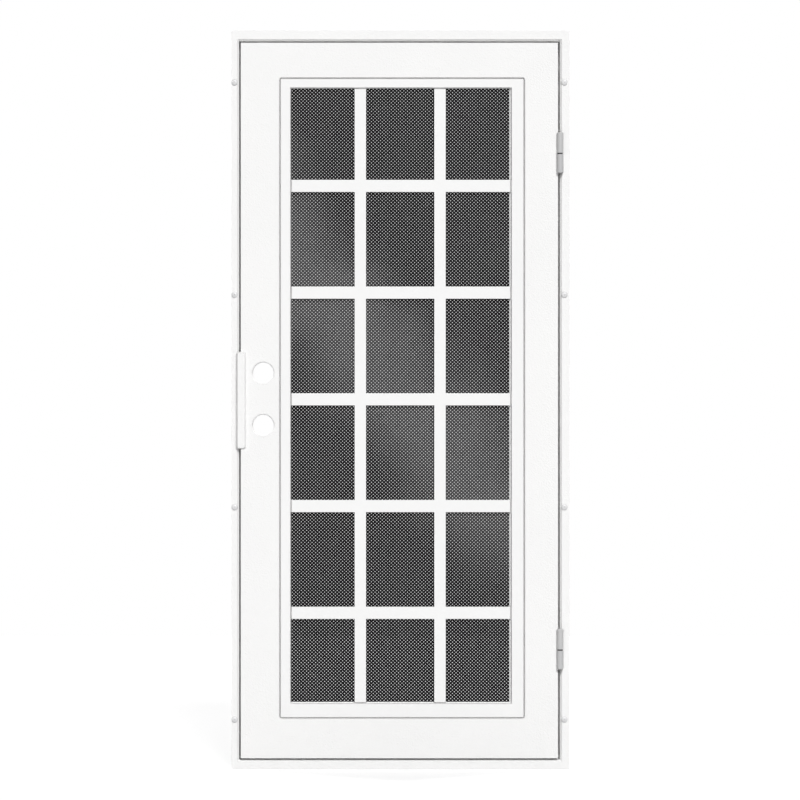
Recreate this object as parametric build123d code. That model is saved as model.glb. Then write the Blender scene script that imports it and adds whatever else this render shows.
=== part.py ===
# Steel security screen door: a leaf on two lift-off hinges in a flanged frame.
# X runs to the right as seen from outside, Y runs into the house and Z is up, in millimetres.
# The origin lies on the wall face of the frame's flange, in the middle of the sill flange.

import os
from dataclasses import dataclass
from math import hypot

from build123d import *

# Frame, formed from sheet: a flange on the wall and a web in the wall's opening, with a flat stop welded behind
frame_width = 950
frame_height = 2076
frame_sheet = 2
latch_flange = 21
hinge_flange = 26.5
head_flange = 29
sill_flange = 26.5
flange_bevel_width = 5.6
flange_bevel_depth = 6.5
flange_corner = 4
stop_reach = 19
stop_thickness = 3

# Screws through the flange
screw_hole_diameter = 7
screw_line_from_web = 12.3
screw_count = 4
lowest_screw_rise = 140
highest_screw_drop = 145

# Leaf, a welded frame of rectangular tube
latch_gap = 5.5
hinge_gap = 6
head_gap = 5
sill_gap = 5
leaf_stand_out = 6
leaf_depth = 38
leaf_wall = 1.6
latch_stile_width = 109.5
hinge_stile_width = 94.5
top_rail_height = 99.5
bottom_rail_height = 112.5
opening_corner = 5.5

# V groove round the trim and at the ends of the bars: the share of each side
groove_width = 2.6
groove_depth = 6.5

# Trim that holds the screen against the leaf's opening
trim_fit = 0.5
trim_depth = 14
trim_sheet = 1.5
latch_trim_width = 31.2
hinge_trim_width = 37.6
top_trim_width = 28.6
bottom_trim_width = 42.3
hinge_trim_lip = 3.8
bottom_trim_lip = 2.6

# Grid of channel bars over the screen, open at the back
bar_recess = 0.8
bar_wall = 1.5
upright_width = 32
upright_spacing = 224
first_upright = 195
crossbar_height = 34
crossbar_pitch = 300
crossbar_count = 5
top_crossbar_drop = 274

# Screen and the angle beads behind it
screen_thickness = 1.2
screen_edge_fit = 1
bead_face = 25
bead_depth = 12
bead_sheet = 2

# Lock bores and latch holes
bore_diameter = 59.5
bore_backset = 62.5
lower_bore_height = 935
bore_spacing = 147
bore_edge = 2.4
sleeve_wall = 3
latch_hole_diameter = 25.4
strike_width = 17
strike_height = 56

# Plate that guards the latch
guard_width = 28
guard_overhang = 13
guard_height = 272.5
guard_middle_height = 1005.5
guard_thickness = 8
guard_side_bevel = 4.6
guard_end_bevel = 3
guard_edge = 1.5
guard_corner = 6
guard_face_corner = 3

# Lift-off hinges
hinge_barrel_diameter = 18
hinge_barrel_stand_off = 9
hinge_wing = 3
upper_barrel_length = 60
lower_barrel_length = 54.5
barrel_end_chamfer = 2
washer_thickness = 3
washer_diameter = 15
hinge_pin_diameter = 10
hinge_pin_reach = 42
hinge_running_fit = 0.05
hinge_end_play = 0.4
top_hinge_drop = 312
bottom_hinge_rise = 304.5

# Weather seal on the stops
seal_clearance = 5
seal_thickness = 6
seal_width = 9
seal_inset = 8

reach = 4 * leaf_depth


@dataclass
class Rect:
    # A rectangle in the plane of the wall.
    left: float
    right: float
    bottom: float
    top: float

    def inset(self, latch, hinge=None, head=None, sill=None):
        # Moves each side inwards, all by the same amount unless each is given.
        if hinge is None:
            hinge, head, sill = latch, latch, latch
        return Rect(self.left + latch, self.right - hinge, self.bottom + sill, self.top - head)

    def plate(self, front, back, corner=0):
        # A plate of this outline, from the front depth to the back one.
        outline = Pos((self.left + self.right) / 2, (self.bottom + self.top) / 2)
        width, height = self.right - self.left, self.top - self.bottom
        shape = RectangleRounded(width, height, corner) if corner else Rectangle(width, height)
        return extrude(Plane.XZ.offset(-back) * outline * shape, back - front)


# Places along the depth, from the wall face of the flange
flange_front = -frame_sheet
leaf_front = flange_front - leaf_stand_out
leaf_back = leaf_front + leaf_depth
seal_front = leaf_back + seal_clearance
stop_front = seal_front + seal_thickness
stop_back = stop_front + stop_thickness
trim_back = leaf_front + trim_depth
bar_front = leaf_front + bar_recess
bar_back = trim_back - trim_sheet
screen_back = trim_back + screen_thickness
leaf_middle = (leaf_front + leaf_back) / 2

# Where the back of the flange's bevel meets the flange and the web
bevel_slope = hypot(flange_bevel_width, flange_bevel_depth)
bevel_back_reach = flange_bevel_width + frame_sheet * (bevel_slope - flange_bevel_width) / flange_bevel_depth
bevel_foot = flange_front + flange_bevel_depth
bevel_back_foot = bevel_foot + frame_sheet * (bevel_slope - flange_bevel_depth) / flange_bevel_width

# Nested outlines, from the flange's outer edge to the visible screen
origin_height = (sill_flange - flange_bevel_width) / 2
frame_outline = Rect(-frame_width / 2, frame_width / 2, -origin_height, frame_height - origin_height)
web_outline = frame_outline.inset(latch_flange, hinge_flange, head_flange, sill_flange)
leaf_outline = web_outline.inset(latch_gap, hinge_gap, head_gap, sill_gap)
opening = leaf_outline.inset(latch_stile_width, hinge_stile_width, top_rail_height, bottom_rail_height)
sight = opening.inset(latch_trim_width, hinge_trim_width, top_trim_width, bottom_trim_width)
mesh_sight = sight.inset(0, hinge_trim_lip, 0, bottom_trim_lip)

# Where the hinges, bores, bars and screws are
hinge_axis_x = web_outline.right
hinge_axis_y = leaf_front - hinge_barrel_stand_off
barrel_radius = hinge_barrel_diameter / 2
pin_radius = hinge_pin_diameter / 2
hinge_splits = {
    "upper": leaf_outline.top - top_hinge_drop,
    "lower": leaf_outline.bottom + bottom_hinge_rise,
}
bore_x = leaf_outline.left + bore_backset
bore_heights = [leaf_outline.bottom + lower_bore_height + row * bore_spacing for row in range(2)]
upright_places = [sight.left + first_upright, sight.left + first_upright + upright_spacing]
crossbar_places = [sight.top - top_crossbar_drop - row * crossbar_pitch for row in range(crossbar_count)]
screw_pitch = (frame_height - lowest_screw_rise - highest_screw_drop) / (screw_count - 1)
screw_heights = [frame_outline.bottom + lowest_screw_rise + row * screw_pitch for row in range(screw_count)]

parts = {}


def box(left, right, front, back, bottom, top):
    # A box between its faces.
    return Rect(left, right, bottom, top).plate(front, back)


def round_bar(radius, bottom, top):
    # An upright cylinder on the origin's vertical.
    return Pos(0, 0, bottom) * Cylinder(radius, top - bottom, align=(Align.CENTER, Align.CENTER, Align.MIN))


def cross_hole(radius, x, z, front, back):
    # A cylinder along the depth.
    return Pos(x, (front + back) / 2, z) * Rot(90, 0, 0) * Cylinder(radius, back - front)


def side_hole(radius, left, right, y, z):
    # A cylinder along the width.
    return Pos((left + right) / 2, y, z) * Rot(0, 90, 0) * Cylinder(radius, right - left)


def mitre_region(side, levels):
    # The share of one side of a four-sided frame, cut along the corners of nested outlines.
    corners = {
        "latch": [(r.left, r.top) for r in levels] + [(r.left, r.bottom) for r in reversed(levels)],
        "hinge": [(r.right, r.top) for r in levels] + [(r.right, r.bottom) for r in reversed(levels)],
        "head": [(r.left, r.top) for r in levels] + [(r.right, r.top) for r in reversed(levels)],
        "sill": [(r.left, r.bottom) for r in levels] + [(r.right, r.bottom) for r in reversed(levels)],
    }[side]
    outline = make_face(Plane.XZ * Polyline(*dict.fromkeys(corners), close=True))
    return extrude(outline, reach, both=True)


def split_sides(names, whole, levels):
    # Cuts a four-sided frame at its mitred corners into one piece for each side.
    for side, name in names.items():
        parts[name] = whole & mitre_region(side, levels)


def bevel_groove(solid, outline):
    # Bevels the front edges of a solid that lie within an outline.
    face = solid.faces().sort_by(Axis.Y)[0]
    edges = face.edges().filter_by(lambda edge: outline.left <= edge.center().X <= outline.right)
    edges = edges.filter_by(lambda edge: outline.bottom <= edge.center().Z <= outline.top)
    return chamfer(edges, groove_width, groove_depth, reference=face)


def frame_section(flange, place):
    # The flange, its bevel and the web, with place giving the section's own axes from the distance outwards.
    points = [
        place(flange, flange_front),
        place(flange_bevel_width, flange_front),
        place(0, bevel_foot),
        place(0, stop_back),
        place(frame_sheet, stop_back),
        place(frame_sheet, bevel_back_foot),
        place(bevel_back_reach, 0),
        place(flange, 0),
    ]
    return make_face(Polyline(*points, close=True))


def build_frame():
    # Four mitred members; the screws pass the flange at both jambs and the bolts pass the latch jamb's web.
    web = web_outline
    upright_plane = Plane.XY.offset(frame_outline.bottom)
    level_plane = Plane.YZ.offset(frame_outline.left)
    sections = {
        "latch": (upright_plane, latch_flange, lambda out, depth: (web.left - out, depth), frame_height),
        "hinge": (upright_plane, hinge_flange, lambda out, depth: (web.right + out, depth), frame_height),
        "head": (level_plane, head_flange, lambda out, depth: (depth, web.top + out), frame_width),
        "sill": (level_plane, sill_flange, lambda out, depth: (depth, web.bottom - out), frame_width),
    }
    flange_corners = frame_outline.inset(flange_corner)
    levels = [frame_outline, flange_corners, web.inset(-bevel_back_reach), web]
    rounded = frame_outline.plate(flange_front, stop_back, flange_corner)
    members = {}
    for side, (plane, flange, place, length) in sections.items():
        straight = extrude(plane * frame_section(flange, place), length)
        members[side] = straight & mitre_region(side, levels) & rounded
    for height in screw_heights:
        radius = screw_hole_diameter / 2
        members["latch"] -= cross_hole(radius, web.left - screw_line_from_web, height, -reach, reach)
        members["hinge"] -= cross_hole(radius, web.right + screw_line_from_web, height, -reach, reach)
    for height in bore_heights:
        slot = Rect(web.left - 3 * frame_sheet, web.left + frame_sheet, height - strike_height / 2,
                    height + strike_height / 2)
        members["latch"] -= slot.plate(leaf_middle - strike_width / 2, leaf_middle + strike_width / 2)
    parts["latch_jamb"] = members["latch"]
    parts["hinge_jamb"] = members["hinge"]
    parts["head"] = members["head"]
    parts["sill"] = members["sill"]


def build_stops():
    # Four mitred flat bars inside the web, at its back edge, which the closed leaf stands in front of.
    inner = web_outline.inset(stop_reach)
    ring = web_outline.plate(stop_front, stop_back) - inner.plate(stop_front, stop_back)
    names = {"latch": "latch_stop", "hinge": "hinge_stop", "head": "head_stop", "sill": "sill_stop"}
    split_sides(names, ring, [web_outline, inner])


def build_seals():
    # A strip on each stop, bevelled at the edges of its face towards the leaf.
    outer = web_outline.inset(seal_inset)
    inner = outer.inset(seal_width)
    ring = outer.plate(seal_front, stop_front) - inner.plate(seal_front, stop_front)
    face_edges = ring.edges().filter_by_position(Axis.Y, seal_front, seal_front)
    ring = chamfer(face_edges, seal_width / 4)
    names = {"latch": "latch_seal", "hinge": "hinge_seal", "head": "head_seal", "sill": "sill_seal"}
    split_sides(names, ring, [outer, inner])


def build_leaf():
    # Four mitred tubes round the screen's opening, whose front edge is one side of the groove.
    solid = leaf_outline.plate(leaf_front, leaf_back) - opening.plate(leaf_front, leaf_back, opening_corner)
    hollow_opening = opening.inset(-leaf_wall)
    hollow_front, hollow_back = leaf_front + leaf_wall, leaf_back - leaf_wall
    hollow = leaf_outline.inset(leaf_wall).plate(hollow_front, hollow_back)
    hollow -= hollow_opening.plate(hollow_front, hollow_back, opening_corner + leaf_wall)
    solid = bevel_groove(solid, opening) - bevel_groove(hollow, hollow_opening)
    names = {"latch": "latch_stile", "hinge": "hinge_stile", "head": "top_rail", "sill": "bottom_rail"}
    levels = [leaf_outline, opening.inset(-opening_corner), opening.inset(opening_corner)]
    split_sides(names, solid, levels)


def build_lock_bores():
    # Two sleeves through the latch stile, bevelled at the mouth, with a window at the latch hole in the leaf's edge.
    bore_radius = bore_diameter / 2
    sleeve_radius = bore_radius + sleeve_wall
    latch_hole_radius = latch_hole_diameter / 2
    names = ["latch_bore_sleeve", "deadbolt_bore_sleeve"]
    for name, height in zip(names, bore_heights):
        sleeve = cross_hole(sleeve_radius, bore_x, height, leaf_front, leaf_back)
        latch_hole = side_hole(latch_hole_radius, leaf_outline.left, bore_x, leaf_middle, height)
        parts["latch_stile"] -= sleeve
        parts["latch_stile"] -= latch_hole
        sleeve -= cross_hole(bore_radius, bore_x, height, leaf_front, leaf_back)
        mouths = sleeve.edges().filter_by(GeomType.CIRCLE).filter_by(lambda edge: edge.radius < sleeve_radius)
        window = Rect(leaf_outline.left, bore_x, height - latch_hole_radius, height + latch_hole_radius)
        window = window.plate(leaf_middle - latch_hole_radius, leaf_middle + latch_hole_radius)
        parts[name] = chamfer(mouths.sort_by(Axis.Y)[0], bore_edge) - window


def build_trim():
    # Four mitred channels in the leaf's opening, open to the back, which press on the screen.
    outer = opening.inset(trim_fit)
    corner = opening_corner - trim_fit
    ring = outer.plate(leaf_front, trim_back, corner) - sight.plate(leaf_front, trim_back)
    hollow_front = leaf_front + trim_sheet
    hollow = outer.inset(trim_sheet).plate(hollow_front, trim_back, corner - trim_sheet)
    hollow -= sight.inset(-trim_sheet).plate(hollow_front, trim_back)
    ring = bevel_groove(ring, outer) - bevel_groove(hollow, outer)
    lip = sight.plate(bar_back, trim_back) - mesh_sight.plate(bar_back, trim_back)
    names = {"latch": "latch_trim", "hinge": "hinge_trim", "head": "top_trim", "sill": "bottom_trim"}
    levels = [outer, outer.inset(corner), sight.inset(-corner), sight, mesh_sight]
    split_sides(names, ring + lip, levels)


def channel_bar(outline, bevelled_ends):
    # A bar with a face and four walls, open at the back, bevelled where it meets the trim.
    bar = outline.plate(bar_front, bar_back)
    face = bar.faces().sort_by(Axis.Y)[0]
    face_edges = face.edges()
    ends = {
        "left": face_edges.sort_by(Axis.X)[0],
        "right": face_edges.sort_by(Axis.X)[-1],
        "bottom": face_edges.sort_by(Axis.Z)[0],
        "top": face_edges.sort_by(Axis.Z)[-1],
    }
    if bevelled_ends:
        edges = [ends[end] for end in bevelled_ends]
        bar = chamfer(edges, groove_width, groove_depth, reference=face)
    walls = {end: bar_wall + (groove_width if end in bevelled_ends else 0) for end in ends}
    hollow = outline.inset(walls["left"], walls["right"], walls["top"], walls["bottom"])
    return bar - hollow.plate(bar_front + bar_wall, bar_back)


def build_grid():
    # Two uprights from trim to trim, and crossbars whose three lengths are welded between them.
    for name, place in zip(["latch_side_upright", "hinge_side_upright"], upright_places):
        half = upright_width / 2
        parts[name] = channel_bar(Rect(place - half, place + half, sight.bottom, sight.top), ["bottom", "top"])
    edges = [sight.left]
    for place in upright_places:
        edges += [place - upright_width / 2, place + upright_width / 2]
    edges.append(sight.right)
    bevelled_ends = [["left"], [], ["right"]]
    for row, height in enumerate(crossbar_places, 1):
        half = crossbar_height / 2
        lengths = []
        for left, right, bevelled in zip(edges[0::2], edges[1::2], bevelled_ends):
            lengths.append(channel_bar(Rect(left, right, height - half, height + half), bevelled))
        parts[f"crossbar_{row}"] = Compound(children=lengths)


def build_screen():
    # The perforated sheet, and four mitred angle beads that hold it from the back.
    sheet = opening.inset(screen_edge_fit)
    parts["screen"] = sheet.plate(trim_back, screen_back, opening_corner)
    outer = opening.inset(trim_fit)
    corner = opening_corner - trim_fit
    face_inner = outer.inset(bead_face)
    wall_inner = outer.inset(bead_sheet)
    face_back = screen_back + bead_sheet
    face = outer.plate(screen_back, face_back, corner) - face_inner.plate(screen_back, face_back)
    wall = outer.plate(face_back, screen_back + bead_depth, corner)
    wall -= wall_inner.plate(face_back, screen_back + bead_depth, corner - bead_sheet)
    names = {"latch": "latch_bead", "hinge": "hinge_bead", "head": "top_bead", "sill": "bottom_bead"}
    split_sides(names, face + wall, [outer, face_inner])


def build_guard():
    # A bevelled plate on the latch stile that laps over the gap and the flange.
    left = leaf_outline.left - guard_overhang
    middle = leaf_outline.bottom + guard_middle_height
    outline = Rect(left, left + guard_width, middle - guard_height / 2, middle + guard_height / 2)
    bevel_back = leaf_front - guard_edge
    bevel_depth = guard_thickness - guard_edge
    plate = outline.plate(bevel_back, leaf_front, guard_corner)
    face = outline.inset(guard_side_bevel, guard_side_bevel, guard_end_bevel, guard_end_bevel)
    bevel_foot = outline.plate(bevel_back, leaf_front, guard_corner).faces().sort_by(Axis.Y)[0]
    bevel_top = face.plate(bevel_back - bevel_depth, leaf_front, guard_face_corner).faces().sort_by(Axis.Y)[0]
    parts["latch_guard"] = plate + loft([bevel_foot, bevel_top])


def build_hinges():
    # Each hinge has a barrel with a pin on the frame, a washer, and a barrel on the leaf that lifts off.
    axis = Pos(hinge_axis_x, hinge_axis_y, 0)
    for name, split in hinge_splits.items():
        washer_bottom, washer_top = split - washer_thickness / 2, split + washer_thickness / 2
        fixed_bottom = split - lower_barrel_length
        fixed = round_bar(barrel_radius, fixed_bottom, washer_bottom)
        fixed = chamfer(fixed.edges().group_by(Axis.Z)[0], barrel_end_chamfer)
        fixed += box(barrel_radius - hinge_wing, barrel_radius, 0, flange_front - hinge_axis_y,
                     fixed_bottom + barrel_end_chamfer, washer_bottom)
        pin = round_bar(pin_radius, washer_bottom, washer_top + hinge_pin_reach)
        parts[f"{name}_hinge_fixed_barrel"] = axis * (fixed + pin)

        washer = round_bar(washer_diameter / 2, washer_bottom, washer_top)
        bore_radius = pin_radius + hinge_running_fit
        parts[f"{name}_hinge_washer"] = axis * (washer - round_bar(bore_radius, washer_bottom, washer_top))

        lifting_bottom = washer_top + hinge_end_play
        lifting_top = split + upper_barrel_length
        lifting = round_bar(barrel_radius, lifting_bottom, lifting_top)
        lifting = chamfer(lifting.edges().group_by(Axis.Z)[-1], barrel_end_chamfer)
        lifting += box(-barrel_radius, hinge_wing - barrel_radius, 0, leaf_front - hinge_axis_y,
                       lifting_bottom, lifting_top - barrel_end_chamfer)
        lifting -= round_bar(bore_radius, lifting_bottom, washer_top + hinge_pin_reach + washer_thickness)
        parts[f"{name}_hinge_lifting_barrel"] = axis * lifting


build_frame()
build_stops()
build_seals()
build_leaf()
build_lock_bores()
build_trim()
build_grid()
build_screen()
build_guard()
build_hinges()

os.makedirs("parts", exist_ok=True)
for name, shape in parts.items():
    export_step(shape, f"parts/{name}.step")
print(len(parts), "pieces written")
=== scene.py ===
import math
import random

import bmesh
import bpy
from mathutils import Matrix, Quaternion, Vector


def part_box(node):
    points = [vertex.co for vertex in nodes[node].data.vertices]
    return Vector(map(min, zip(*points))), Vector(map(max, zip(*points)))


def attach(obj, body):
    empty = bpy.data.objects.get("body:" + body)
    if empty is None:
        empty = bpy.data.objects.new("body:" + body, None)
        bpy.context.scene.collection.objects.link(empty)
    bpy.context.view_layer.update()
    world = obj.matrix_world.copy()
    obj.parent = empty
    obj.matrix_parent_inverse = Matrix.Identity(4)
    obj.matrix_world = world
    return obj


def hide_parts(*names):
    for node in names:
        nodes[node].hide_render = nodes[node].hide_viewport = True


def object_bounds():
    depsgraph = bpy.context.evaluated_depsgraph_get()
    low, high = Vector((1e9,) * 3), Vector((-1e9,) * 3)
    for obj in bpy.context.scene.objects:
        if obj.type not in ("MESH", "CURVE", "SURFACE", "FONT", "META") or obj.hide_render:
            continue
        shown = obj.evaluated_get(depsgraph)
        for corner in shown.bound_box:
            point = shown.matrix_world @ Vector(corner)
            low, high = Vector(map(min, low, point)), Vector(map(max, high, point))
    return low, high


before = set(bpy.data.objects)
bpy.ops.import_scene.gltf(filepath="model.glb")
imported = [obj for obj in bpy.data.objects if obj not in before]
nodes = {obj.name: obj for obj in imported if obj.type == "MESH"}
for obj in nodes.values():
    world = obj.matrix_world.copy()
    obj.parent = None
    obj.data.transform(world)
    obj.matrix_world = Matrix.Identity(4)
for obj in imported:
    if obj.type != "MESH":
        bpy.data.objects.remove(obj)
scene = bpy.context.scene
cadBox = [list(corner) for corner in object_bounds()]
print("Frame loaded:", len(nodes), "nodes")


# Small helpers for the node trees
def addMath(tree, operation, first, second):
    step = tree.nodes.new("ShaderNodeMath")
    step.operation = operation
    for place, value in enumerate((first, second)):
        if isinstance(value, (int, float)):
            step.inputs[place].default_value = value
        else:
            tree.links.new(value, step.inputs[place])
    return step.outputs[0]


def addNoise(tree, where, scale, detail, roughness=0.5):
    noise = tree.nodes.new("ShaderNodeTexNoise")
    noise.inputs["Detail"].default_value = detail
    noise.inputs["Roughness"].default_value = roughness
    tree.links.new(where, noise.inputs["Vector"])
    if isinstance(scale, (int, float)):
        noise.inputs["Scale"].default_value = scale
    else:
        tree.links.new(scale, noise.inputs["Scale"])
    return noise.outputs["Fac"]


def mapRange(tree, value, low, high, newLow, newHigh):
    step = tree.nodes.new("ShaderNodeMapRange")
    tree.links.new(value, step.inputs["Value"])
    for name, given in (("From Min", low), ("From Max", high), ("To Min", newLow), ("To Max", newHigh)):
        step.inputs[name].default_value = given
    return step.outputs["Result"]


# Camera, level with the middle of the door
view = {"side": -0.0013, "distance": 12.5, "height": 1.0276, "lens": 200.05, "sensor": 36, "farthest": 100}

cameraData = bpy.data.cameras.new("camera")
cameraData.lens = view["lens"]
cameraData.sensor_width = view["sensor"]
cameraData.clip_end = view["farthest"]
camera = bpy.data.objects.new("camera", cameraData)
camera.location = (view["side"], -view["distance"], view["height"])
camera.rotation_euler = (math.radians(90), 0, 0)
scene.collection.objects.link(camera)
scene.camera = camera
scene.view_settings.view_transform = "Standard"


# Studio: soft lamps in front and behind, a pale floor, and a surround that is white to the camera, the gloss and
# what shines through, and dim to everything else
studio = {
    "lamps": [  # name, place, aimed at, size, power
        ("mainLamp", (13.0, -66.6, 43.4), (0, 0, 1.0), 19.0, 50600),
        ("fillLamp", (-8.0, -48.0, 4.0), (0, 0, 1.0), 12.0, 2900),
        ("backRightLamp", (33.8, 28.4, 24.5), (0, 0, 1.0), 9.0, 13500),
        ("backLeftLamp", (-33.8, 28.4, 24.5), (0, 0, 1.0), 9.0, 13500),
    ],
    "surroundLight": 0.13,
    "floorSize": 14,
    "floorTone": (0.50, 0.50, 0.50),
    "floorRough": 0.9,
    "floorSpecular": 0.1,
    "floorGlow": 0.58,  # only the camera sees it
}


def buildStudio(plan):
    for name, place, aim, size, power in plan["lamps"]:
        lampData = bpy.data.lights.new(name, "AREA")
        lampData.shape = "DISK"
        lampData.size = size
        lampData.energy = power
        lamp = bpy.data.objects.new(name, lampData)
        lamp.location = place
        lamp.rotation_euler = (Vector(aim) - Vector(place)).to_track_quat("-Z", "Y").to_euler()
        lamp.visible_camera = False
        scene.collection.objects.link(lamp)
    world = bpy.data.worlds.new("surround")
    scene.world = world
    world.use_nodes = True
    tree = world.node_tree
    tree.nodes.clear()
    rays = tree.nodes.new("ShaderNodeLightPath")
    seen = addMath(tree, "MAXIMUM", rays.outputs["Is Camera Ray"], rays.outputs["Is Glossy Ray"])
    seen = addMath(tree, "MAXIMUM", seen, rays.outputs["Is Transmission Ray"])
    strength = tree.nodes.new("ShaderNodeMix")
    strength.inputs["A"].default_value = plan["surroundLight"]
    strength.inputs["B"].default_value = 1.0
    tree.links.new(seen, strength.inputs["Factor"])
    background = tree.nodes.new("ShaderNodeBackground")
    background.inputs["Color"].default_value = (1, 1, 1, 1)
    tree.links.new(strength.outputs["Result"], background.inputs["Strength"])
    output = tree.nodes.new("ShaderNodeOutputWorld")
    tree.links.new(background.outputs[0], output.inputs["Surface"])


def buildFloor(plan):
    half = plan["floorSize"] / 2
    low = cadBox[0][2]
    mesh = bpy.data.meshes.new("floor")
    corners = [(-half, -half, low), (half, -half, low), (half, half, low), (-half, half, low)]
    mesh.from_pydata(corners, [], [(0, 1, 2, 3)])
    floor = bpy.data.objects.new("floor", mesh)
    scene.collection.objects.link(floor)
    material = bpy.data.materials.new("pale floor")
    material.use_nodes = True
    tree = material.node_tree
    shader = tree.nodes["Principled BSDF"]
    shader.inputs["Base Color"].default_value = (*plan["floorTone"], 1)
    shader.inputs["Roughness"].default_value = plan["floorRough"]
    shader.inputs["Specular IOR Level"].default_value = plan["floorSpecular"]
    rays = tree.nodes.new("ShaderNodeLightPath")
    glow = addMath(tree, "MULTIPLY", rays.outputs["Is Camera Ray"], plan["floorGlow"])
    shader.inputs["Emission Color"].default_value = (1, 1, 1, 1)
    tree.links.new(glow, shader.inputs["Emission Strength"])
    mesh.materials.append(material)


buildStudio(studio)
buildFloor(studio)
print("Camera, lamps and floor are set")


# Node groups that several finishes share
coatPattern = {"detail": 3.0, "roughness": 0.55, "ridgeHeight": 2.0, "speckFiner": 3.1, "speckHeight": 0.35}
dustPattern = {"slopeFrom": 0.25, "slopeTo": 0.95, "detail": 4.0, "patchFrom": 0.35, "patchTo": 0.7, "thinnest": 0.2}
# Painted shade in grooves, corners and close gaps, from an ambient occlusion mask
creaseShadePlan = {"samples": 8, "openAt": 0.65, "closedAt": 0.2, "scale": 25, "detail": 3.0, "patchFrom": 0.3,
                "patchTo": 0.7, "thinnest": 0.8}


def socket(group, name, direction, value=None):
    made = group.interface.new_socket(name=name, in_out=direction, socket_type="NodeSocketFloat")
    if value is not None:
        made.default_value = value


def makeCoatTexture(plan):
    # The fine wrinkle of a powder coat, and the slow drift of its thickness
    group = bpy.data.node_groups.new("powder coat texture", "ShaderNodeTree")
    socket(group, "Wrinkle Scale", "INPUT", value=420)
    socket(group, "Drift Scale", "INPUT", value=5)
    socket(group, "Height", "OUTPUT")
    socket(group, "Drift", "OUTPUT")
    ins = group.nodes.new("NodeGroupInput")
    outs = group.nodes.new("NodeGroupOutput")
    where = group.nodes.new("ShaderNodeTexCoord").outputs["Object"]
    wrinkle = addNoise(group, where, ins.outputs["Wrinkle Scale"], plan["detail"], plan["roughness"])
    ridges = addMath(group, "ABSOLUTE", addMath(group, "SUBTRACT", wrinkle, 0.5), 0)
    ridges = addMath(group, "MULTIPLY", ridges, plan["ridgeHeight"])
    speckScale = addMath(group, "MULTIPLY", ins.outputs["Wrinkle Scale"], plan["speckFiner"])
    specks = addMath(group, "MULTIPLY", addNoise(group, where, speckScale, 1.0), plan["speckHeight"])
    height = addMath(group, "ADD", ridges, specks)
    drift = addNoise(group, where, ins.outputs["Drift Scale"], 2.0)
    group.links.new(height, outs.inputs["Height"])
    group.links.new(drift, outs.inputs["Drift"])
    return group


def makeSettledDust(plan):
    # Dust on faces that look upwards, broken up by a noise
    group = bpy.data.node_groups.new("settled dust", "ShaderNodeTree")
    socket(group, "Amount", "INPUT", value=0.3)
    socket(group, "Patch Scale", "INPUT", value=40)
    socket(group, "Mask", "OUTPUT")
    ins = group.nodes.new("NodeGroupInput")
    outs = group.nodes.new("NodeGroupOutput")
    where = group.nodes.new("ShaderNodeTexCoord").outputs["Object"]
    normal = group.nodes.new("ShaderNodeNewGeometry").outputs["Normal"]
    split = group.nodes.new("ShaderNodeSeparateXYZ")
    group.links.new(normal, split.inputs[0])
    upward = mapRange(group, split.outputs["Z"], plan["slopeFrom"], plan["slopeTo"], 0.0, 1.0)
    patches = addNoise(group, where, ins.outputs["Patch Scale"], plan["detail"])
    patches = mapRange(group, patches, plan["patchFrom"], plan["patchTo"], plan["thinnest"], 1.0)
    mask = addMath(group, "MULTIPLY", addMath(group, "MULTIPLY", upward, patches), ins.outputs["Amount"])
    group.links.new(mask, outs.inputs["Mask"])
    return group


def makeCreaseShade(plan):
    # Painted shade: darker colour in grooves and narrow corners, where shade falls, found by ambient occlusion and
    # broken up by a noise
    group = bpy.data.node_groups.new("painted crease shade", "ShaderNodeTree")
    socket(group, "Amount", "INPUT", value=0.5)
    socket(group, "Reach", "INPUT", value=0.006)
    socket(group, "Mask", "OUTPUT")
    ins = group.nodes.new("NodeGroupInput")
    outs = group.nodes.new("NodeGroupOutput")
    where = group.nodes.new("ShaderNodeTexCoord").outputs["Object"]
    shelter = group.nodes.new("ShaderNodeAmbientOcclusion")
    shelter.samples = plan["samples"]
    group.links.new(ins.outputs["Reach"], shelter.inputs["Distance"])
    depth = mapRange(group, shelter.outputs["AO"], plan["openAt"], plan["closedAt"], 0.0, 1.0)
    patches = addNoise(group, where, plan["scale"], plan["detail"])
    patches = mapRange(group, patches, plan["patchFrom"], plan["patchTo"], plan["thinnest"], 1.0)
    mask = addMath(group, "MULTIPLY", addMath(group, "MULTIPLY", depth, patches), ins.outputs["Amount"])
    group.links.new(mask, outs.inputs["Mask"])
    return group


coatTexture = makeCoatTexture(coatPattern)
settledDust = makeSettledDust(dustPattern)
creaseShadeGroup = makeCreaseShade(creaseShadePlan)


def placeGroup(tree, group, **values):
    placed = tree.nodes.new("ShaderNodeGroup")
    placed.node_tree = group
    for name, value in values.items():
        placed.inputs[name.replace("_", " ")].default_value = value
    return placed


def mixColour(tree, factor, first, second):
    mix = tree.nodes.new("ShaderNodeMix")
    mix.data_type = "RGBA"
    tree.links.new(factor, mix.inputs["Factor"])
    for name, colour in (("A", first), ("B", second)):
        place = [entry for entry in mix.inputs if entry.name == name and entry.type == "RGBA"][0]
        if isinstance(colour, tuple):
            place.default_value = (*colour, 1)
        else:
            tree.links.new(colour, place)
    return [entry for entry in mix.outputs if entry.type == "RGBA"][0]


def addBump(tree, height, strength, depth, shader):
    bump = tree.nodes.new("ShaderNodeBump")
    bump.inputs["Strength"].default_value = strength
    bump.inputs["Distance"].default_value = depth
    tree.links.new(height, bump.inputs["Height"])
    tree.links.new(bump.outputs["Normal"], shader.inputs["Normal"])


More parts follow.
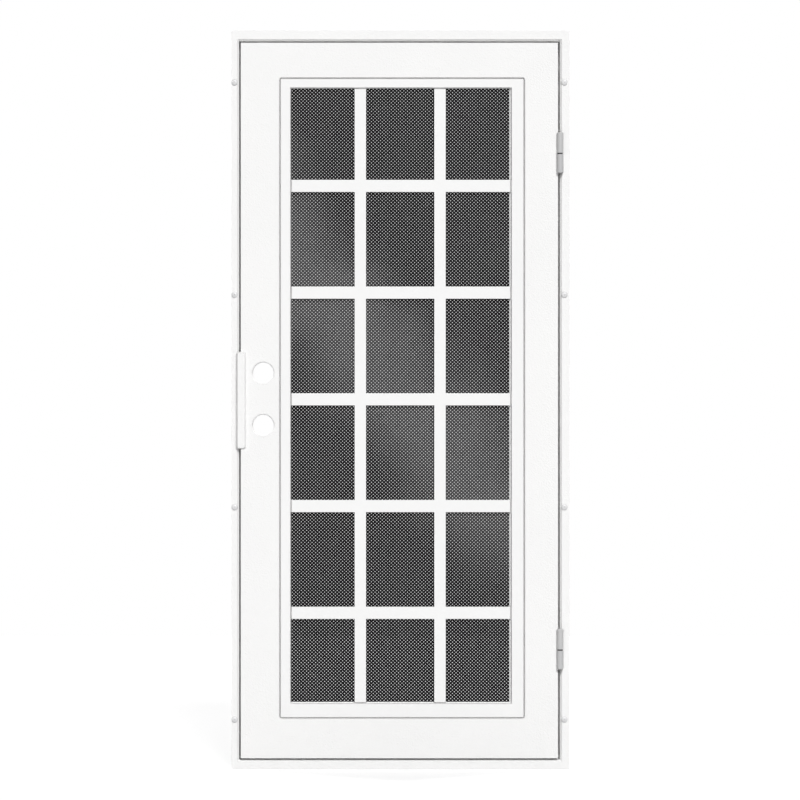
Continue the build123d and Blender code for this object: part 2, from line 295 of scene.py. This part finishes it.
coatWear = {
    "driftScale": 4, "thinAt": (0.35, 0.65), "roughAt": (0.3, 0.7), "dustPatches": 60, "dustRoughness": 0.4,
    "creaseShadeReach": 0.006, "bump": 0.6,
}
# In each finish the last two entries give the darker tone and the amount of the painted shade in grooves and corners
finishes = {
    "whiteCoat": {"tone": (0.865, 0.863, 0.858), "thin": (0.857, 0.855, 0.851), "dustAndSheenTone": (0.72, 0.71, 0.68),
                  "rough": (0.42, 0.52), "wrinkle": 150, "depth": 0.0015, "dust": 0.20, "specular": 0.4,
                  "creaseShadeTone": (0.42, 0.415, 0.41), "paintedCreaseShade": 0.45},
    "trimCoat": {"tone": (0.853, 0.851, 0.848), "thin": (0.845, 0.843, 0.841), "dustAndSheenTone": (0.74, 0.73, 0.70),
                 "rough": (0.40, 0.48), "wrinkle": 210, "depth": 0.00070, "dust": 0.20, "specular": 0.4,
                  "creaseShadeTone": (0.42, 0.415, 0.41), "paintedCreaseShade": 0.6},
    "hingeCoat": {"tone": (0.54, 0.54, 0.54), "thin": (0.49, 0.49, 0.50), "dustAndSheenTone": (0.43, 0.42, 0.40),
                  "rough": (0.34, 0.42), "wrinkle": 700, "depth": 0.00006, "dust": 0.35, "specular": 0.12,
                  "creaseShadeTone": (0.15, 0.147, 0.143), "paintedCreaseShade": 0.9},
    "screwCoat": {"tone": (0.74, 0.74, 0.74), "thin": (0.69, 0.69, 0.70), "dustAndSheenTone": (0.48, 0.47, 0.45),
                  "rough": (0.30, 0.38), "wrinkle": 900, "depth": 0.00004, "dust": 0.30, "specular": 0.5,
                  "creaseShadeTone": (0.28, 0.275, 0.27), "paintedCreaseShade": 0.35},
}


def makeCoat(name, plan, wear):
    material = bpy.data.materials.new(name)
    material.use_nodes = True
    tree = material.node_tree
    shader = tree.nodes["Principled BSDF"]
    texture = placeGroup(tree, coatTexture, Wrinkle_Scale=plan["wrinkle"], Drift_Scale=wear["driftScale"])
    dust = placeGroup(tree, settledDust, Amount=plan["dust"], Patch_Scale=wear["dustPatches"])
    # Painted shade in grooves and corners, placed here and mixed into the colour below
    paintedCreaseShade = placeGroup(tree, creaseShadeGroup, Amount=plan["paintedCreaseShade"], Reach=wear["creaseShadeReach"])
    drift = mapRange(tree, texture.outputs["Drift"], *wear["thinAt"], 0.0, 1.0)
    colour = mixColour(tree, drift, plan["tone"], plan["thin"])
    colour = mixColour(tree, dust.outputs["Mask"], colour, plan["dustAndSheenTone"])
    colour = mixColour(tree, paintedCreaseShade.outputs["Mask"], colour, plan["creaseShadeTone"])
    tree.links.new(colour, shader.inputs["Base Color"])
    rough = mapRange(tree, texture.outputs["Drift"], *wear["roughAt"], *plan["rough"])
    dustyRough = addMath(tree, "MULTIPLY", dust.outputs["Mask"], wear["dustRoughness"])
    tree.links.new(addMath(tree, "ADD", rough, dustyRough), shader.inputs["Roughness"])
    shader.inputs["Specular IOR Level"].default_value = plan["specular"]
    addBump(tree, texture.outputs["Height"], wear["bump"], plan["depth"], shader)
    return material


# Black screen finish. Its lighter second tone is the colour of the painted sheen band
screenFinish = {
    "tone": (0.005, 0.005, 0.0055), "dustAndSheenTone": (0.064, 0.064, 0.066), "rough": (0.55, 0.70), "specular": 0.12,
    "wrinkle": 800, "driftScale": 3.2, "bump": 0.5, "depth": 0.00004,
    "sheenFrom": (-0.30, 1.41), "sheenTo": (0.31, 0.69),  # x and z of its two ends, in metres
    "sheenCore": 0.03, "sheenEdge": 0.25, "wander": 0.35, "fadeBelow": (0.35, 0.75),
    "grain": 90, "grainDetail": 4.0, "grainAt": (0.3, 0.7), "thinnest": 0.75,
}


def makeScreenCoat(plan):
    # Black coat with a painted sheen: a soft lighter band in its colour that runs diagonally down across the screen,
    # where a reflection would show
    material = bpy.data.materials.new("black screen coat")
    material.use_nodes = True
    tree = material.node_tree
    shader = tree.nodes["Principled BSDF"]
    where = tree.nodes.new("ShaderNodeTexCoord").outputs["Object"]
    split = tree.nodes.new("ShaderNodeSeparateXYZ")
    tree.links.new(where, split.inputs[0])
    texture = placeGroup(tree, coatTexture, Wrinkle_Scale=plan["wrinkle"], Drift_Scale=plan["driftScale"])
    # Painted sheen: a lighter diagonal band between two given ends, wandering with the coat's drift, fading out lower
    # down and broken by grain
    fromX, fromZ = plan["sheenFrom"]
    toX, toZ = plan["sheenTo"]
    length = math.hypot(toX - fromX, toZ - fromZ)
    acrossX, acrossZ = -(toZ - fromZ) / length, (toX - fromX) / length
    offset = addMath(tree, "ADD", addMath(tree, "MULTIPLY", split.outputs["X"], acrossX),
                     addMath(tree, "MULTIPLY", split.outputs["Z"], acrossZ))
    offset = addMath(tree, "SUBTRACT", offset, fromX * acrossX + fromZ * acrossZ)
    wander = addMath(tree, "MULTIPLY", addMath(tree, "SUBTRACT", texture.outputs["Drift"], 0.5), plan["wander"])
    offset = addMath(tree, "ABSOLUTE", addMath(tree, "ADD", offset, wander), 0)
    paintedSheen = mapRange(tree, offset, plan["sheenCore"], plan["sheenEdge"], 1.0, 0.0)
    paintedSheen.node.interpolation_type = "SMOOTHSTEP"
    paintedSheen = addMath(tree, "MULTIPLY", paintedSheen, mapRange(tree, split.outputs["Z"], *plan["fadeBelow"], 0.0, 1.0))
    grain = mapRange(tree, addNoise(tree, where, plan["grain"], plan["grainDetail"]), *plan["grainAt"],
                     plan["thinnest"], 1.0)
    paintedSheen = addMath(tree, "MULTIPLY", paintedSheen, grain)
    tree.links.new(mixColour(tree, paintedSheen, plan["tone"], plan["dustAndSheenTone"]), shader.inputs["Base Color"])
    rough = mapRange(tree, texture.outputs["Drift"], *coatWear["roughAt"], *plan["rough"])
    tree.links.new(rough, shader.inputs["Roughness"])
    shader.inputs["Specular IOR Level"].default_value = plan["specular"]
    addBump(tree, texture.outputs["Height"], plan["bump"], plan["depth"], shader)
    return material


softWear = {"patches": 45, "detail": 3.0, "wornAt": (0.35, 0.65), "bump": 0.7}
softFinishes = {
    "sealRubber": {"tone": (0.012, 0.012, 0.012), "worn": (0.030, 0.029, 0.028), "rough": 0.92, "specular": 0.3,
                   "pores": 1400, "depth": 0.0004},
    "washerNylon": {"tone": (0.010, 0.010, 0.011), "worn": (0.022, 0.022, 0.024), "rough": 0.55, "specular": 0.08,
                    "pores": 900, "depth": 0.00004},
}


def makeSoftFinish(name, plan, wear):
    # Foam rubber pores, or the fine grain of moulded nylon
    material = bpy.data.materials.new(name)
    material.use_nodes = True
    tree = material.node_tree
    shader = tree.nodes["Principled BSDF"]
    where = tree.nodes.new("ShaderNodeTexCoord").outputs["Object"]
    pores = tree.nodes.new("ShaderNodeTexVoronoi")
    pores.inputs["Scale"].default_value = plan["pores"]
    tree.links.new(where, pores.inputs["Vector"])
    patches = mapRange(tree, addNoise(tree, where, wear["patches"], wear["detail"]), *wear["wornAt"], 0.0, 1.0)
    tree.links.new(mixColour(tree, patches, plan["tone"], plan["worn"]), shader.inputs["Base Color"])
    shader.inputs["Roughness"].default_value = plan["rough"]
    shader.inputs["Specular IOR Level"].default_value = plan["specular"]
    addBump(tree, pores.outputs["Distance"], wear["bump"], plan["depth"], shader)
    return material


whiteCoat = makeCoat("white wrinkle coat", finishes["whiteCoat"], coatWear)
trimCoat = makeCoat("white smooth coat", finishes["trimCoat"], coatWear)
hingeCoat = makeCoat("grey hinge coat", finishes["hingeCoat"], coatWear)
screwCoat = makeCoat("screw coat", finishes["screwCoat"], coatWear)
screenCoat = makeScreenCoat(screenFinish)
sealRubber = makeSoftFinish("black foam rubber", softFinishes["sealRubber"], softWear)
washerNylon = makeSoftFinish("black nylon", softFinishes["washerNylon"], softWear)


def dress(name, material):
    for slot in nodes[name].material_slots:
        slot.material = material


for name in nodes:
    if name.endswith("_seal"):
        dress(name, sealRubber)
    elif name.endswith("_washer"):
        dress(name, washerNylon)
    elif name.endswith("_barrel"):
        dress(name, hingeCoat)
    elif name.endswith(("_trim", "_upright")) or name.startswith("crossbar"):
        dress(name, trimCoat)
    elif name != "screen":
        dress(name, whiteCoat)
print("Finishes are on the", len(nodes), "CAD pieces")


def turnFacesOut(mesh):
    work = bmesh.new()
    work.from_mesh(mesh)
    bmesh.ops.recalc_face_normals(work, faces=work.faces)
    work.to_mesh(mesh)
    work.free()


def roundOff(mesh, degrees):
    # Smooth shading, with edges sharper than this kept crisp
    mesh.shade_smooth()
    mesh.set_sharp_from_angle(angle=math.radians(degrees))


def addPiece(name, vertices, faces, material, body):
    mesh = bpy.data.meshes.new(name)
    mesh.from_pydata(vertices, [], faces)
    mesh.materials.append(material)
    piece = bpy.data.objects.new(name, mesh)
    scene.collection.objects.link(piece)
    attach(piece, body)
    return piece


# Perforated screen of eight-sided holes, in bands that meet along the middle of a row of holes
screenPlan = {
    "columnPitch": 0.01013, "rowPitch": 0.00483, "holeDiameter": 0.0023,
    "left": -0.31460, "bottom": 0.15857, "columns": 63, "rows": 362, "seamRows": [0, 72, 144, 218, 290, 362],
}


def buildScreen(plan):
    low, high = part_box("screen")
    radius = plan["holeDiameter"] / 2
    lastRow, columns = plan["rows"], plan["columns"]
    turns = [(math.cos(n * math.pi / 4) * radius, math.sin(n * math.pi / 4) * radius) for n in range(8)]

    def rowHeight(row):
        return plan["bottom"] + row * plan["rowPitch"]

    pieces = []
    for number, (first, last) in enumerate(zip(plan["seamRows"], plan["seamRows"][1:]), 1):
        points, index, faces = [], {}, []

        def point(x, z):
            key = (round(x, 6), round(z, 6))
            if key not in index:
                index[key] = len(points)
                points.append((x, z))
            return index[key]

        def rim(row, column, *wanted):
            # Points on the rim of a hole, or the one point that stands for a hole left out at the edge
            x = plan["left"] + (column + 0.5 * (row % 2)) * plan["columnPitch"]
            z = rowHeight(row)
            if row in (0, lastRow) or (row % 2 == 0 and column in (0, columns)):
                return [point(x, z)]
            return [point(x + turns[n][0], z + turns[n][1]) for n in wanted]

        def web(*runs):
            corners = [corner for run in runs for corner in run]
            kept = [c for n, c in enumerate(corners) if c != corners[n - 1]]
            if len(kept) > 2:
                faces.append(kept)

        for row in range(first, last + 1):
            shift = row % 2
            sites = columns + 1 - shift
            for column in range(sites - 1):  # between this hole and the next
                below = rim(row - 1, column + shift, 2) if row > first else []
                above = rim(row + 1, column + shift, 6) if row < last else []
                web(rim(row, column, 0), below, rim(row, column + 1, 4), above)
            if shift:  # the half spaces at the two sides
                web(rim(row - 1, 0, 0), rim(row, 0, 4), rim(row + 1, 0, 0))
                web(rim(row - 1, columns, 0), rim(row + 1, columns, 0), rim(row, columns - 1, 0))
            if row < last:
                for column in range(sites):
                    upRight, upLeft = column + shift, column - 1 + shift
                    if upRight < columns + shift:
                        web(rim(row, column, 0), rim(row + 1, upRight, 6, 5, 4), rim(row, column, 2, 1))
                    if upLeft >= 0:
                        web(rim(row, column, 4, 3, 2), rim(row + 1, upLeft, 0, 7, 6))

        leftChain = [rim(row, 0, 0)[0] for row in range(first, last + 1, 2)]
        rightChain = [rim(row, columns, 0)[0] for row in range(first, last + 1, 2)]
        startLeft, startRight = point(low.x, rowHeight(first)), point(high.x, rowHeight(first))
        endLeft, endRight = point(low.x, rowHeight(last)), point(high.x, rowHeight(last))
        faces.append([startLeft] + leftChain + [endLeft])
        faces.append([startRight, endRight] + rightChain[::-1])
        if first == 0:
            chain = [rim(0, column, 0)[0] for column in range(columns + 1)]
            faces.append([point(low.x, low.z), point(high.x, low.z), startRight] + chain[::-1] + [startLeft])
        if last == lastRow:
            chain = [rim(lastRow, column, 0)[0] for column in range(columns + 1)]
            faces.append([endLeft] + chain + [endRight, point(high.x, high.z), point(low.x, high.z)])

        count = len(points)
        vertices = [(x, low.y, z) for x, z in points] + [(x, high.y, z) for x, z in points]
        edges = {(a, b) for face in faces for a, b in zip(face, face[1:] + face[:1])}
        walls = [(b, a, a + count, b + count) for a, b in edges if (b, a) not in edges]
        backs = [[corner + count for corner in reversed(face)] for face in faces]
        piece = addPiece(f"screen_band_{number}", vertices, faces + backs + walls, screenCoat, "leaf")
        pieces.append(piece)
    for piece in pieces:
        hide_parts("screen")
    return pieces


screenBands = buildScreen(screenPlan)
print("Perforated screen:", sum(len(band.data.polygons) for band in screenBands), "faces")


# Wall screws: domed heads with a cross recess, and threaded shanks
wallScrews = {
    "columns": [-0.4663, 0.4608], "rows": [0.12955, 0.72655, 1.32355, 1.92055], "seat": -0.002, "sides": 24,
    "headDiameter": 0.018, "headHeight": 0.0048, "rimHeight": 0.0012, "shankDiameter": 0.0060, "threadDepth": 0.0006,
    "threadPitch": 0.0022, "shankLength": 0.036, "recessWidth": 0.0013, "recessSpan": 0.0056, "recessDepth": 0.0016,
}
beadScrews = {
    "headDiameter": 0.0075, "headHeight": 0.0024, "rimHeight": 0.0006, "shankDiameter": 0.0036, "threadDepth": 0.0004,
    "threadPitch": 0.0014, "shankLength": 0.0075, "recessWidth": 0.0010, "recessSpan": 0.0042, "recessDepth": 0.0012,
    "pitch": 0.290, "inset": 0.090, "fromBack": 0.005, "beadSheet": 0.002, "sides": 16,
}
screwShape = {
    "domeSteps": 7, "rimRounding": 0.3, "stepsPerTurn": 4, "tipTurns": 2.5, "tipStart": 0.25, "point": 0.06,
    "leastRadius": 0.3, "crispAbove": 38, "cutterReach": 1.3, "recessTaper": 0.62,
}


def screwMesh(name, plan):
    # A screw along +Y with its seat at y = 0, head towards -Y
    head, shank, length, pitch = (plan["headDiameter"] / 2, plan["shankDiameter"] / 2, plan["shankLength"],
                                  plan["threadPitch"])
    sides, rim, dome = plan["sides"], plan["rimHeight"], plan["headHeight"] - plan["rimHeight"]
    rounding, tipStart = rim * screwShape["rimRounding"], screwShape["tipStart"]
    rings = []  # radius, depth, and 1 where there is a thread
    for n in range(1, screwShape["domeSteps"] + 1):  # the dome, from its middle outwards
        angle = math.pi / 2 * n / screwShape["domeSteps"]
        rings.append((head * math.sin(angle), -rim - dome * math.cos(angle), 0))
    rings += [(head, -rounding, 0), (head - rounding, 0, 0), (shank, 0, 0)]
    steps = int(length / pitch * screwShape["stepsPerTurn"])
    for n in range(1, steps + 1):
        depth = length * n / steps
        taper = min(1.0, (length - depth) / (pitch * screwShape["tipTurns"]))
        rings.append((shank * (tipStart + (1 - tipStart) * taper), depth, 1 if depth > pitch else 0))
    rings[-1] = (shank * screwShape["point"], length, 0)
    vertices, faces = [(0, -plan["headHeight"], 0)], []
    for radius, depth, threaded in rings:
        for side in range(sides):
            turn = 2 * math.pi * side / sides
            phase = (depth / pitch - side / sides) % 1
            cut = plan["threadDepth"] * abs(2 * phase - 1) if threaded else 0
            reach = max(radius - cut, radius * screwShape["leastRadius"])
            vertices.append((reach * math.cos(turn), depth, reach * math.sin(turn)))
    for side in range(sides):
        after = (side + 1) % sides
        faces.append((0, 1 + side, 1 + after))
        for ring in range(len(rings) - 1):
            start = 1 + ring * sides
            faces.append((start + side, start + sides + side, start + sides + after, start + after))
    faces.append([1 + (len(rings) - 1) * sides + side for side in reversed(range(sides))])
    mesh = bpy.data.meshes.new(name)
    mesh.from_pydata(vertices, [], faces)
    turnFacesOut(mesh)
    return mesh


def cutCrossRecess(mesh, plan):
    # Cuts a tapered cross into the head
    wide, span = plan["recessWidth"] / 2, plan["recessSpan"] / 2
    outline = [(span, -wide), (span, wide), (wide, wide), (wide, span), (-wide, span), (-wide, wide),
               (-span, wide), (-span, -wide), (-wide, -wide), (-wide, -span), (wide, -span), (wide, -wide)]
    front = -plan["headHeight"] * screwShape["cutterReach"]
    floorY = -plan["headHeight"] + plan["recessDepth"]
    taper = screwShape["recessTaper"]
    vertices = [(x, front, z) for x, z in outline] + [(x * taper, floorY, z * taper) for x, z in outline]
    count = len(outline)
    faces = [tuple(range(count)), tuple(reversed(range(count, 2 * count)))]
    faces += [(n, n + count, (n + 1) % count + count, (n + 1) % count) for n in range(count)]
    cutterMesh = bpy.data.meshes.new("recess cutter")
    cutterMesh.from_pydata(vertices, [], faces)
    turnFacesOut(cutterMesh)
    cutter = bpy.data.objects.new("recess cutter", cutterMesh)
    blank = bpy.data.objects.new("screw blank", mesh)
    scene.collection.objects.link(cutter)
    scene.collection.objects.link(blank)
    cut = blank.modifiers.new("recess", "BOOLEAN")
    cut.operation = "DIFFERENCE"
    cut.solver = "EXACT"
    cut.object = cutter
    bpy.context.view_layer.update()
    finished = bpy.data.meshes.new_from_object(blank.evaluated_get(bpy.context.evaluated_depsgraph_get()))
    bpy.data.objects.remove(blank)
    bpy.data.objects.remove(cutter)
    return finished


def makeScrew(name, plan, material):
    mesh = cutCrossRecess(screwMesh(name, plan), plan)
    mesh.name = name
    mesh.materials.clear()
    mesh.materials.append(material)
    roundOff(mesh, screwShape["crispAbove"])
    return mesh


def placeScrew(mesh, name, place, direction, spin, body):
    # The shank points along the direction, and the spin turns the recess
    piece = bpy.data.objects.new(name, mesh)
    lean = Vector((0, 1, 0)).rotation_difference(Vector(direction))
    piece.rotation_euler = (lean @ Quaternion((0, 1, 0), spin)).to_euler()
    piece.location = place
    scene.collection.objects.link(piece)
    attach(piece, body)


random.seed(7)
wallScrewMesh = makeScrew("wall screw", wallScrews, screwCoat)
for sideName, x in zip(("latch", "hinge"), wallScrews["columns"]):
    for number, z in enumerate(wallScrews["rows"], 1):
        placeScrew(wallScrewMesh, f"{sideName}_wall_screw_{number}", (x, wallScrews["seat"], z), (0, 1, 0),
                   random.uniform(0, math.pi / 2), "frame")

beadScrewMesh = makeScrew("bead screw", beadScrews, screwCoat)
beadSides = (("latch", (-1, 0, 0)), ("hinge", (1, 0, 0)), ("top", (0, 0, 1)), ("bottom", (0, 0, -1)))


def placeBeadScrews(plan):
    # Through the upright leg of each angle bead, into the tube beside it
    for beadName, direction in beadSides:
        low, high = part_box(f"{beadName}_bead")
        depth = high.y - plan["fromBack"]
        alongZ = direction[0] != 0
        start, end = (low.z, high.z) if alongZ else (low.x, high.x)
        run = end - start - 2 * plan["inset"]
        count = max(2, round(run / plan["pitch"]) + 1)
        across = 0 if alongZ else 2
        outer = high if direction[across] > 0 else low
        face = outer[across] - direction[across] * plan["beadSheet"]
        for number in range(count):
            along = start + plan["inset"] + run * number / (count - 1)
            place = (face, depth, along) if alongZ else (along, depth, face)
            placeScrew(beadScrewMesh, f"{beadName}_bead_screw_{number + 1}", place, direction,
                       random.uniform(0, math.pi / 2), "leaf")


placeBeadScrews(beadScrews)
print("Screws are in place")


# Weld fillets along the feet of the hinge wings
weldPlan = {
    "leg": 0.0016, "ripple": 0.00035, "ripplePitch": 0.0021, "stepsPerRipple": 4, "endFade": 0.004, "bite": 0.0006,
    "bowSteps": 4, "bowLow": 0.80, "crispAbove": 50, "nearWasher": 0.001, "nearEnd": 0.003,
}


def addWeld(name, plan, corner, towardX, towardY, bottom, top, body):
    # A rippled fillet that runs up the corner between two faces and bites a little into both
    bite, pitch = plan["bite"], plan["ripplePitch"]
    steps = int((top - bottom) / pitch * plan["stepsPerRipple"])
    rows = []
    for step in range(steps + 1):
        z = bottom + (top - bottom) * step / steps
        fade = min(1.0, (min(z - bottom, top - z) + bite) / plan["endFade"])
        leg = plan["leg"] * math.sqrt(fade) + plan["ripple"] * math.cos(2 * math.pi * z / pitch) * fade
        section = [(-bite, -bite), (leg, -bite)]
        for n in range(plan["bowSteps"] + 1):
            angle = math.pi / 2 * n / plan["bowSteps"]
            reach = leg * (plan["bowLow"] + (1 - plan["bowLow"]) * abs(math.cos(2 * angle)))
            section.append((reach * math.cos(angle), reach * math.sin(angle)))
        section.append((-bite, leg))
        rows.append([(corner[0] + towardX * u, corner[1] + towardY * v, z) for u, v in section])
    count = len(rows[0])
    vertices = [vertex for row in rows for vertex in row]
    faces = [tuple(range(count)), tuple(reversed(range(steps * count, (steps + 1) * count)))]
    for step in range(steps):
        for n in range(count):
            after = (n + 1) % count
            faces.append((step * count + n, (step + 1) * count + n, (step + 1) * count + after, step * count + after))
    weld = addPiece(name, vertices, faces, whiteCoat, body)
    turnFacesOut(weld.data)
    roundOff(weld.data, plan["crispAbove"])


for hinge in ("upper", "lower"):
    low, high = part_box(f"{hinge}_hinge_fixed_barrel")
    bottom = low.z + weldPlan["nearEnd"]
    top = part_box(f"{hinge}_hinge_washer")[0].z - weldPlan["nearWasher"]  # the fixed barrel's box ends with its pin
    addWeld(f"{hinge}_frame_wing_weld", weldPlan, (high.x, high.y), 1, -1, bottom, top, "frame")
    low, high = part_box(f"{hinge}_hinge_lifting_barrel")
    bottom, top = low.z + weldPlan["nearWasher"], high.z - weldPlan["nearEnd"]
    addWeld(f"{hinge}_leaf_wing_weld", weldPlan, (low.x, high.y), -1, -1, bottom, top, "leaf")
print("Welds are in place")
